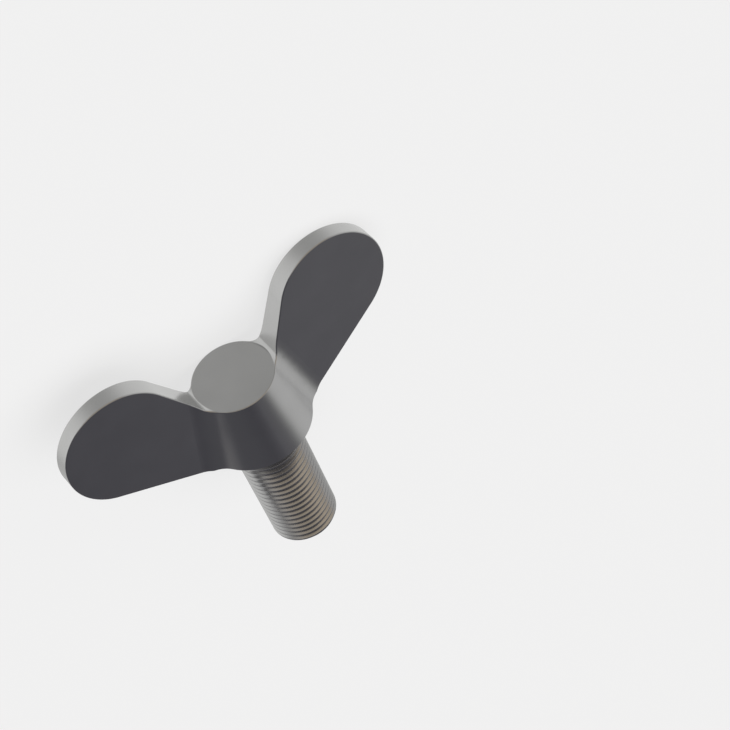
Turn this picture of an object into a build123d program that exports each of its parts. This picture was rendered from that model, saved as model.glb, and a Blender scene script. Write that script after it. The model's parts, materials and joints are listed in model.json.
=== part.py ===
from build123d import *
from math import atan, cos, degrees, pi, radians, sin, tan
import os

# Wing screw, size M8, one solid: a threaded shank under a conical hub that
# carries two flat, round-ended wings. All lengths are in millimetres.
#
# The screw is modelled along its own axis first: the seat under the hub lies in
# the plane z = 0, the shank goes down from it, and the wings rise on either
# side in the XZ plane. It is then laid down as it comes to rest on a table.

# ---- driving dimensions ----
thread_diameter = 8.0          # M8, over the crests
shank_length = 19.2            # from the seat to the end of the thread
end_chamfer = 0.6              # where the thread starts

hub_base_diameter = 12.8       # the seat
hub_top_diameter = 9.4
hub_height = 8.4

wing_tip_radius = 6.7
wing_tip_centre_x = 13.8       # centre of the round tip, out from the axis
wing_tip_centre_z = 11.3       # and up from the seat
wing_lower_edge_angle = 29.0   # of each straight edge, up from the seat plane
wing_upper_edge_angle = 61.0
wing_root_thickness = 3.3      # at the foot of the wing, beside the seat
wing_tip_thickness = 1.9       # at the far end of the round tip

side_fillet = 3.4              # between the wing faces and the hub
top_fillet = 1.4               # between the upper edges and the hub's top face
edge_round = 0.12              # broken edge round the top face and the wings

# ---- derived sizes ----
hub_base_radius = hub_base_diameter / 2
hub_top_radius = hub_top_diameter / 2
wing_height = wing_tip_centre_z + wing_tip_radius
half_span = wing_tip_centre_x + wing_tip_radius

# The wing's own axis halves the angle between its two straight edges, and its
# faces close in on each other along that axis.
wing_axis_angle = radians((wing_lower_edge_angle + wing_upper_edge_angle) / 2)
wing_axis = Vector(cos(wing_axis_angle), 0, sin(wing_axis_angle))
wing_foot = Vector(hub_base_radius, 0, 0)
tip_centre = Vector(wing_tip_centre_x, 0, wing_tip_centre_z)
tip_end = tip_centre + wing_axis * wing_tip_radius
wing_length = (tip_end - wing_foot).dot(wing_axis)
face_slope = (wing_root_thickness - wing_tip_thickness) / 2 / wing_length


def wing_blank():
    """One wing before its outline is cut: a block with two sloping faces."""
    block = Box(
        half_span,
        2 * wing_root_thickness,
        wing_height,
        align=(Align.MIN, Align.CENTER, Align.MIN),
    )
    for side in (-1, 1):
        start = wing_foot + Vector(0, side * wing_root_thickness / 2, 0)
        outward = Vector(0, side, 0) + wing_axis * face_slope
        block = split(block, bisect_by=Plane(start, z_dir=outward), keep=Keep.BOTTOM)
    return block


def head_blank():
    """Cone and wings, joined by the side fillets, before the outline is cut.

    The cone is carried on above the hub's top, so that the fillets run straight
    on past the top face and are cut off there with the rest.
    """
    taper = (hub_base_radius - hub_top_radius) / hub_height
    core_height = 1.5 * hub_height
    core = Cone(
        hub_base_radius,
        hub_base_radius - taper * core_height,
        core_height,
        align=(Align.CENTER, Align.CENTER, Align.MIN),
    )
    wing = wing_blank()
    blank = core + wing + mirror(wing, about=Plane.YZ)

    # The four seams climb the cone beside the wings' faces.
    seams = [
        edge
        for edge in blank.edges()
        if edge.bounding_box().size.Z > hub_height / 2
        and thread_diameter / 8 < abs(edge.center().X) < hub_base_radius
    ]
    return fillet(seams, side_fillet)


def half_outline():
    """One side of the head seen square to the wings, from axis to wing tip."""
    lower = radians(wing_lower_edge_angle)
    upper = radians(wing_upper_edge_angle)
    # Where the straight edges touch the round tip,
    lower_touch = tip_centre + Vector(sin(lower), 0, -cos(lower)) * wing_tip_radius
    upper_touch = tip_centre + Vector(-sin(upper), 0, cos(upper)) * wing_tip_radius
    # and where they come down to the seat and to the hub's top face.
    seat_x = lower_touch.X - lower_touch.Z / tan(lower)
    top_x = upper_touch.X - (upper_touch.Z - hub_height) / tan(upper)

    start = (lower_touch.X, lower_touch.Z)
    end = (upper_touch.X, upper_touch.Z)
    border = Polyline((0, hub_height), (0, 0), (seat_x, 0), start)
    border += ThreePointArc(start, (tip_end.X, tip_end.Z), end)
    border += Polyline(end, (top_x, hub_height), (0, hub_height))
    face = make_face(border)
    corner = face.vertices().sort_by_distance((top_x, hub_height))[0]
    return Plane.XZ * fillet(corner, top_fillet)


def head():
    """Hub and wings cut to their outline, with broken edges and a faced top."""
    half = extrude(half_outline(), amount=hub_base_diameter, both=True)
    body = head_blank() & (half + mirror(half, about=Plane.YZ))

    # From the hub's rim the round runs on by itself along the wings' edges.
    rim = [
        edge
        for edge in body.edges().filter_by(GeomType.CIRCLE)
        if abs(edge.radius - hub_top_radius) < edge_round / 10
        and abs(edge.center().Z - hub_height) < edge_round / 10
    ]
    body = fillet(rim, edge_round)

    # The top face is faced off inside its rim, as a full disc, which leaves a
    # low step where it meets the fillets at the wings' feet.
    facing = Cylinder(
        hub_top_radius - edge_round,
        wing_height,
        align=(Align.CENTER, Align.CENTER, Align.MIN),
    )
    return body - Pos(0, 0, hub_height) * facing


def shank():
    """The threaded shank at the thread's outside diameter."""
    rod = Cylinder(
        thread_diameter / 2,
        shank_length,
        align=(Align.CENTER, Align.CENTER, Align.MAX),
    )
    return chamfer(rod.faces().sort_by(Axis.Z)[0].edges(), end_chamfer)


def lying_roll(lean):
    """The roll about its own axis that brings a wing down to the table.

    The hub's side lies on the table along one line, which leaves the screw free
    to roll until the broken edge of one round tip touches as well.
    """
    hub_reach = hub_base_radius * cos(lean)
    level = 0.0
    steep = pi / 4
    for _ in range(40):
        roll = (level + steep) / 2
        across = cos(roll) * cos(lean)
        along = Vector(sin(roll) * cos(lean), 0, sin(lean)) - wing_axis * face_slope * across
        foot = wing_root_thickness / 2 + face_slope * wing_foot.dot(wing_axis) - edge_round
        tip = tip_centre.dot(along) + (wing_tip_radius - edge_round) * along.length
        if tip + foot * across + edge_round < hub_reach:
            level = roll
        else:
            steep = roll
    return level


def laid_down(screw):
    """The screw at rest on the side of its hub and on one wing tip."""
    lean = atan((hub_base_radius - hub_top_radius) / hub_height)
    roll = lying_roll(lean)
    lying = Rot(90 + degrees(lean), 0, 0) * Rot(0, 0, degrees(roll)) * screw
    box = lying.bounding_box()
    return Pos(-box.center().X, -box.center().Y, -box.min.Z) * lying


screw = head() + shank()

os.makedirs("parts", exist_ok=True)
export_step(laid_down(screw), "parts/wing_screw.step")
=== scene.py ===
import json
import math

import bpy
import numpy as np
from mathutils import Matrix, Vector

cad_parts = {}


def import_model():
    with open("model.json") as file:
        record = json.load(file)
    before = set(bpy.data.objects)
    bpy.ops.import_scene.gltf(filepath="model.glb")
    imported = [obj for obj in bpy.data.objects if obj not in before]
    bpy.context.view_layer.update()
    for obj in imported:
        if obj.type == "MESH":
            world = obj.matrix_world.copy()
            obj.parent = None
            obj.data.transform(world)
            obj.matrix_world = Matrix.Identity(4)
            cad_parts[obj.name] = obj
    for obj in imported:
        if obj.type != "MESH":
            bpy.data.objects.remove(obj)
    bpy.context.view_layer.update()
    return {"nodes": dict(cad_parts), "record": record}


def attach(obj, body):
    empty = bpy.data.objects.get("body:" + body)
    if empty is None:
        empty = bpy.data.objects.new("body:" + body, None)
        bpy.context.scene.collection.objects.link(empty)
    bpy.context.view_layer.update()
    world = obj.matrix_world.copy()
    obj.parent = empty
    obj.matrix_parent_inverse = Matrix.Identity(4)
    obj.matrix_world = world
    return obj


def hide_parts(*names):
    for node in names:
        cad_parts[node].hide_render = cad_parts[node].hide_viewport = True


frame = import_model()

# The looks of a steel wing screw that lies on its hub. The thread and the camera
# are placed from the screw's own frame: the origin is the middle of the seat, +Z
# runs up the screw's axis to the head, +X along a wing, and +Y is the side that
# the screw lies on. Lengths are in metres.
mm = 0.001
node = frame["nodes"]["wing_screw"]
mounts = {mount["name"]: mount for mount in frame["record"]["mounts"]}

# ---- the thread, which the CAD solid leaves plain ----
pitch = 0.86 * mm
crest_flat = 0.09 * pitch         # half of the flat on a turn's crest
crest_round = 0.05 * pitch        # radius of the crest's corners
root_round = 0.12 * pitch         # radius of the groove's bottom
flank_angle = math.radians(60)    # of each flank, from the screw's axis
arc_steps = 3                     # of a crest's corner, and of half a groove's bottom
end_chamfer = 0.6 * mm
column_split = 3                  # columns for each edge of the CAD shank's circle
spare_turns = 2                   # past each end, before they are cut to the shank

# ---- how close counts as the same ----
same_point = 1e-9                 # two points, which become one vertex
on_chamfer = 1e-8                 # a point and the chamfer
on_circle = 0.001 * mm            # a vertex of the CAD mesh and a circle or a plane

# ---- the steel ----
cloud_scale = 260.0               # of the unevenness, per metre
cloud_detail = 4.0
cloud_tones = [(0.3, (0.52, 0.52, 0.515)), (0.7, (0.555, 0.555, 0.55))]
roughness_least = 0.19
roughness_most = 0.25

# ---- the camera, in the screw's own frame ----
camera_azimuth = math.radians(-18.54)     # from straight in front, towards -X
camera_elevation = math.radians(50.26)
camera_roll = math.radians(-23.36)
camera_target = Vector((14.02, 0.0, -3.91)) * mm
camera_distance = 214.44 * mm
camera_lens = 94.34               # in mm, as the sensor is
camera_sensor = 36.0
camera_clip = 10 * mm             # nearest that it sees

# ---- the studio ----
pale = (0.863, 0.863, 0.863, 1.0)         # floor and background
floor_size = 3.0
floor_glow = 0.82                 # share of the floor that the camera sees without shade
lamp_energy = 2.6
lamp_angle = math.radians(90)     # how wide the lamp looks from the screw
# Each wall of the room that the steel mirrors: where its middle is, as an azimuth
# from the row's -Y towards +X and an elevation, and its colours by the angle away
# from there, all in degrees. Where walls meet, the lightest shows.
walls = [
    (-88, 5, [
        (118.0, (0.102, 0.101, 0.114)),
        (90.0, (0.088, 0.086, 0.100)),
        (77.0, (0.112, 0.110, 0.125)),
        (73.0, (0.146, 0.144, 0.160)),
        (62.0, (0.155, 0.153, 0.166)),
        (56.0, (0.185, 0.183, 0.193)),
        (52.0, (0.25, 0.25, 0.255)),
        (48.0, (0.36, 0.36, 0.36)),
        (44.0, (0.52, 0.52, 0.52)),
        (41.0, (0.61, 0.61, 0.61)),
        (38.0, (0.66, 0.66, 0.66)),
    ]),
    (-18, 5, [
        (70.0, (0.088, 0.086, 0.100)),
        (52.0, (0.52, 0.50, 0.48)),
        (45.0, (0.50, 0.445, 0.39)),
        (36.0, (0.43, 0.37, 0.30)),
        (24.0, (0.44, 0.38, 0.30)),
        (16.0, (0.51, 0.435, 0.345)),
        (8.0, (0.60, 0.51, 0.41)),
    ]),
    (140, -5, [
        (38.0, (0.088, 0.086, 0.100)),
        (35.0, (0.145, 0.143, 0.158)),
        (27.0, (0.175, 0.17, 0.18)),
        (20.0, (0.25, 0.245, 0.25)),
        (11.0, (0.45, 0.445, 0.45)),
    ]),
]
# The pale light from below, which is greyer in front, in the same terms. It stands
# for the floor, which the steel doesn't mirror.
below = (-14, -12, [
    (142.0, (0.58, 0.58, 0.575)),
    (128.0, (0.62, 0.62, 0.615)),
    (113.0, (0.86, 0.86, 0.855)),
    (95.0, (0.88, 0.88, 0.875)),
    (80.0, (0.87, 0.87, 0.865)),
    (70.0, (0.84, 0.84, 0.835)),
    (61.0, (0.78, 0.78, 0.775)),
    (57.0, (0.73, 0.73, 0.725)),
    (53.0, (0.645, 0.645, 0.64)),
    (47.0, (0.54, 0.54, 0.535)),
    (38.0, (0.45, 0.45, 0.445)),
    (34.0, (0.37, 0.365, 0.36)),
    (28.0, (0.33, 0.325, 0.32)),
])
below_start = -5.0                # elevation, in degrees, where it sets in
below_whole = -22.0               # and where it is whole


def own_frame():
    """The matrix from the screw's own frame to the row's."""
    thread = Vector(mounts["thread"]["pos_m"])
    seat = Vector(mounts["seat"]["pos_m"])
    up = -Vector(mounts["thread"]["axis"]).normalized()
    origin = thread + up * (seat - thread).dot(up)
    # The wings reach furthest, so they give the widest direction across the axis.
    points = np.array([vertex.co for vertex in node.data.vertices]) - np.array(origin)
    axis = np.array(up)
    across = points - np.outer(points @ axis, axis)
    wings = Vector(np.linalg.eigh(across.T @ across)[1][:, -1])
    side = up.cross(wings)
    if side.z > 0:
        wings.negate()
        side.negate()
    turn = Matrix((wings, side, up)).transposed().to_4x4()
    return Matrix.Translation(origin) @ turn


def thread_profile():
    """One turn's outline from crest to crest: (along the axis, inwards, slope)."""
    slope = math.tan(flank_angle)
    points = [(0.0, 0.0, 0.0)]
    for step in range(arc_steps + 1):
        angle = flank_angle * step / arc_steps
        along = crest_flat + crest_round * math.sin(angle)
        points.append((along, crest_round * (1 - math.cos(angle)), math.tan(angle)))
    corner_along, corner_depth, _ = points[-1]
    root_start = pitch / 2 - root_round * math.sin(flank_angle)
    root_depth = corner_depth + (root_start - corner_along) * slope
    bottom = root_depth + root_round * (1 - math.cos(flank_angle))
    for step in range(arc_steps + 1):
        angle = flank_angle * (1 - step / arc_steps)
        along = pitch / 2 - root_round * math.sin(angle)
        points.append((along, bottom - root_round * (1 - math.cos(angle)), math.tan(angle)))
    back = [(pitch - along, depth, -rise) for along, depth, rise in points[1:-1]]
    return points + back[::-1]


class Surface:
    """Vertices, faces and corner normals gathered for one mesh."""

    def __init__(self):
        self.points = []
        self.faces = []
        self.normals = []
        self.index = {}

    def vertex(self, point):
        """The number of the vertex at a point, which is made if it is a new one."""
        key = tuple(round(value / same_point) for value in point)
        if key not in self.index:
            self.index[key] = len(self.points)
            self.points.append(tuple(point))
        return self.index[key]

    def face(self, points, normals):
        """A face through the points, or none where they close up to a line."""
        ring = []
        kept = []
        for point, normal in zip(points, normals):
            number = self.vertex(point)
            if number not in ring:
                ring.append(number)
                kept.append(normal)
        if len(ring) > 2:
            self.faces.append(ring)
            self.normals.extend(kept)

    def build(self, name, place):
        """The mesh, with what was gathered moved to its place."""
        turn = place.to_3x3()
        mesh = bpy.data.meshes.new(name)
        mesh.from_pydata([place @ Vector(point) for point in self.points], [], self.faces)
        mesh.shade_smooth()
        mesh.normals_split_custom_set([turn @ normal for normal in self.normals])
        mesh.update()
        return mesh


def shank_end(own):
    """How long the shank is: the lowest point in the screw's own frame."""
    inverse = own.inverted()
    return -min((inverse @ vertex.co).z for vertex in node.data.vertices)


def add_head(surface, own, radius):
    """The CAD solid's own faces, all but the plain shank's. Returns the seat's hole."""
    inverse = own.inverted()
    turn = inverse.to_3x3()
    mesh = node.data
    local = [inverse @ vertex.co for vertex in mesh.vertices]
    hole = {}
    for polygon in mesh.polygons:
        corners = [local[number] for number in polygon.vertices]
        reach = max(math.hypot(corner.x, corner.y) for corner in corners)
        if reach < radius + on_circle and max(corner.z for corner in corners) < on_circle:
            continue
        normals = [turn @ mesh.corner_normals[loop].vector for loop in polygon.loop_indices]
        surface.face(corners, normals)
        for corner in corners:
            off_rim = abs(math.hypot(corner.x, corner.y) - radius)
            if abs(corner.z) < on_circle and off_rim < on_circle:
                hole[surface.vertex(corner)] = math.atan2(corner.y, corner.x)
    ring = sorted(hole, key=hole.get)
    return [(hole[number], Vector(surface.points[number])) for number in ring]


def add_thread(surface, hole, radius, length):
    """The threaded shank, welded to the rim of the seat's hole."""
    profile = thread_profile()
    starts = [angle for angle, _ in hole]
    columns = []
    for number, angle in enumerate(starts):
        step = (starts[(number + 1) % len(starts)] - angle) % math.tau
        columns += [angle + step * part / column_split for part in range(column_split)]
    columns.append(columns[0] + math.tau)

    end_turn = -int(length / pitch) - 1
    rows = [
        (turn * pitch + along, depth, slope)
        for turn in range(end_turn - spare_turns, spare_turns)
        for along, depth, slope in profile
    ]
    offsets = np.array([row[0] for row in rows])
    depths = np.array([row[1] for row in rows])

    def at(angle, row):
        """A point of the thread, moved along the axis to the shank's end if it is past it."""
        rise = pitch * angle / math.tau
        along = min(max(rows[row][0] + rise, -length), 0.0)
        reach = radius - np.interp(along - rise, offsets, depths)
        reach = min(reach, radius - end_chamfer + along + length)
        return Vector((reach * math.cos(angle), reach * math.sin(angle), along))

    def normal(angle, point, slope):
        """Square to the thread there, or to the chamfer, which slopes the other way."""
        reach = math.hypot(point.x, point.y)
        if reach > radius - end_chamfer + point.z + length - on_chamfer:
            slope = -1.0
        lean = -slope * pitch / math.tau / reach
        out = Vector((math.cos(angle), math.sin(angle), slope))
        return (out + lean * Vector((-math.sin(angle), math.cos(angle), 0))).normalized()

    down = Vector((0, 0, -1))
    grid = [[at(angle, row) for row in range(len(rows))] for angle in columns]
    for side in range(len(columns) - 1):
        left, right = columns[side], columns[side + 1]
        for row in range(len(rows) - 1):
            slope_low, slope_high = rows[row][2], rows[row + 1][2]
            corners = [
                (left, grid[side][row], slope_low),
                (right, grid[side + 1][row], slope_low),
                (right, grid[side + 1][row + 1], slope_high),
                (left, grid[side][row + 1], slope_high),
            ]
            surface.face([c[1] for c in corners], [normal(*c) for c in corners])
        end = Vector((0, 0, -length))
        surface.face([end, grid[side + 1][0], grid[side][0]], [down] * 3)

    # The flat ring between the groove and the rim of the seat's hole.
    tops = [column[-1] for column in grid]
    for number, (_, rim) in enumerate(hole):
        following = hole[(number + 1) % len(hole)][1]
        first = number * column_split
        middle = first + column_split // 2
        surface.face([rim, following, tops[middle]], [down] * 3)
        for step in range(first, first + column_split):
            outer = rim if step < middle else following
            surface.face([outer, tops[step + 1], tops[step]], [down] * 3)


def ramp(nodes, stops):
    """A colour ramp through stops of a position and a colour, in rising order."""
    tone = nodes.new("ShaderNodeValToRGB")
    elements = tone.color_ramp.elements
    while len(elements) < len(stops):
        elements.new(0.5)
    for element, (position, colour) in zip(elements, stops):
        element.position = position
        element.color = (*colour, 1.0)
    return tone


def mixed(nodes, links, share, first, second):
    """A shader that is the second one by a share, and otherwise the first."""
    mix = nodes.new("ShaderNodeMixShader")
    links.new(share, mix.inputs["Fac"])
    links.new(first, mix.inputs[1])
    links.new(second, mix.inputs[2])
    return mix.outputs["Shader"]


def steel():
    """Satin stainless steel, with a little unevenness in its tone and its gloss."""
    material = bpy.data.materials.new("satin_steel")
    material.use_nodes = True
    nodes = material.node_tree.nodes
    links = material.node_tree.links
    shader = nodes["Principled BSDF"]
    shader.inputs["Metallic"].default_value = 1.0
    place = nodes.new("ShaderNodeTexCoord")
    clouds = nodes.new("ShaderNodeTexNoise")
    clouds.inputs["Scale"].default_value = cloud_scale
    clouds.inputs["Detail"].default_value = cloud_detail
    links.new(place.outputs["Object"], clouds.inputs["Vector"])
    tone = ramp(nodes, cloud_tones)
    links.new(clouds.outputs["Fac"], tone.inputs["Fac"])
    links.new(tone.outputs["Color"], shader.inputs["Base Color"])
    gloss = nodes.new("ShaderNodeMapRange")
    gloss.inputs["To Min"].default_value = roughness_least
    gloss.inputs["To Max"].default_value = roughness_most
    links.new(clouds.outputs["Fac"], gloss.inputs["Value"])
    links.new(gloss.outputs["Result"], shader.inputs["Roughness"])
    return material


def wing_screw(own):
    """The whole screw as one closed mesh, standing for the CAD solid."""
    radius = mounts["thread"]["dims"]["r_mm"] * mm
    surface = Surface()
    hole = add_head(surface, own, radius)
    add_thread(surface, hole, radius, shank_end(own))
    name = "wing_screw_threaded"
    piece = bpy.data.objects.new(name, surface.build(name, own))
    bpy.context.scene.collection.objects.link(piece)
    piece.data.materials.append(steel())
    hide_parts("wing_screw")
    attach(piece, "root")
    return piece


def floor():
    """A plain pale floor under the screw."""
    half = floor_size / 2
    mesh = bpy.data.meshes.new("floor")
    corners = [(-half, -half, 0), (half, -half, 0), (half, half, 0), (-half, half, 0)]
    mesh.from_pydata(corners, [], [(0, 1, 2, 3)])
    slab = bpy.data.objects.new("floor", mesh)
    bpy.context.scene.collection.objects.link(slab)
    material = bpy.data.materials.new("pale_floor")
    material.use_nodes = True
    nodes = material.node_tree.nodes
    links = material.node_tree.links
    shader = nodes["Principled BSDF"]
    shader.inputs["Base Color"].default_value = pale
    shader.inputs["Roughness"].default_value = 1.0
    shader.inputs["Specular IOR Level"].default_value = 0.0
    glow = nodes.new("ShaderNodeEmission")
    glow.inputs["Color"].default_value = pale
    rays = nodes.new("ShaderNodeLightPath")
    share = nodes.new("ShaderNodeMath")
    share.operation = "MULTIPLY"
    share.inputs[1].default_value = floor_glow
    links.new(rays.outputs["Is Camera Ray"], share.inputs[0])
    shaded = shader.outputs["BSDF"]
    whole = mixed(nodes, links, share.outputs["Value"], shaded, glow.outputs["Emission"])
    links.new(whole, nodes["Material Output"].inputs["Surface"])
    mesh.materials.append(material)
    # In its place the steel mirrors the pale light from below, made in world().
    slab.visible_glossy = False


def cone(nodes, links, direction, azimuth, elevation, tones):
    """A colour by the angle of a direction from the middle of a wall."""
    across, up = math.radians(azimuth), math.radians(elevation)
    nearness = nodes.new("ShaderNodeVectorMath")
    nearness.operation = "DOT_PRODUCT"
    nearness.inputs[1].default_value = (
        math.sin(across) * math.cos(up),
        -math.cos(across) * math.cos(up),
        math.sin(up),
    )
    links.new(direction, nearness.inputs[0])
    scaled = nodes.new("ShaderNodeMapRange")
    scaled.inputs["From Min"].default_value = -1.0
    links.new(nearness.outputs["Value"], scaled.inputs["Value"])
    stops = [((1 + math.cos(math.radians(angle))) / 2, colour) for angle, colour in tones]
    tone = ramp(nodes, stops)
    links.new(scaled.outputs["Result"], tone.inputs["Fac"])
    return tone.outputs["Color"]


def background(nodes, links, colour):
    """A light of the given colour from every direction."""
    light = nodes.new("ShaderNodeBackground")
    links.new(colour, light.inputs["Color"])
    return light.outputs["Background"]


def world():
    """A dim room with lighter walls, pale from below, and pale to the camera."""
    room = bpy.data.worlds.new("room")
    bpy.context.scene.world = room
    room.use_nodes = True
    nodes = room.node_tree.nodes
    links = room.node_tree.links
    nodes.clear()
    place = nodes.new("ShaderNodeTexCoord")
    direction = place.outputs["Generated"]
    light = cone(nodes, links, direction, *walls[0])
    for wall in walls[1:]:
        lighter = nodes.new("ShaderNodeVectorMath")
        lighter.operation = "MAXIMUM"
        links.new(light, lighter.inputs[0])
        links.new(cone(nodes, links, direction, *wall), lighter.inputs[1])
        light = lighter.outputs["Vector"]
    height = nodes.new("ShaderNodeSeparateXYZ")
    links.new(direction, height.inputs["Vector"])
    depth = nodes.new("ShaderNodeMapRange")
    depth.inputs["From Min"].default_value = math.sin(math.radians(below_start))
    depth.inputs["From Max"].default_value = math.sin(math.radians(below_whole))
    links.new(height.outputs["Z"], depth.inputs["Value"])
    above = background(nodes, links, light)
    under = background(nodes, links, cone(nodes, links, direction, *below))
    lit = mixed(nodes, links, depth.outputs["Result"], above, under)
    seen = nodes.new("ShaderNodeBackground")
    seen.inputs["Color"].default_value = pale
    rays = nodes.new("ShaderNodeLightPath")
    whole = mixed(nodes, links, rays.outputs["Is Camera Ray"], lit, seen.outputs["Background"])
    output = nodes.new("ShaderNodeOutputWorld")
    links.new(whole, output.inputs["Surface"])


def lamps():
    """One broad soft light overhead, which the steel doesn't mirror."""
    light = bpy.data.lights.new("overhead", "SUN")
    light.energy = lamp_energy
    light.angle = lamp_angle
    lamp = bpy.data.objects.new("overhead", light)
    bpy.context.scene.collection.objects.link(lamp)
    lamp.visible_glossy = False


def camera(own):
    """The camera, which looks down on the screw's head from one side."""
    data = bpy.data.cameras.new("camera")
    data.sensor_width = camera_sensor
    data.lens = camera_lens
    data.clip_start = camera_clip
    towards = Vector((
        math.sin(camera_azimuth) * math.cos(camera_elevation),
        -math.cos(camera_azimuth) * math.cos(camera_elevation),
        math.sin(camera_elevation),
    ))
    level = Vector((math.cos(camera_azimuth), math.sin(camera_azimuth), 0.0))
    right = Matrix.Rotation(camera_roll, 3, towards) @ level
    turn = Matrix((right, towards.cross(right), towards)).transposed().to_4x4()
    place = Matrix.Translation(camera_target + towards * camera_distance) @ turn
    eye = bpy.data.objects.new("camera", data)
    eye.matrix_world = own @ place
    bpy.context.scene.collection.objects.link(eye)
    bpy.context.scene.camera = eye


own = own_frame()
wing_screw(own)
floor()
world()
lamps()
camera(own)
bpy.context.scene.view_settings.view_transform = "Standard"
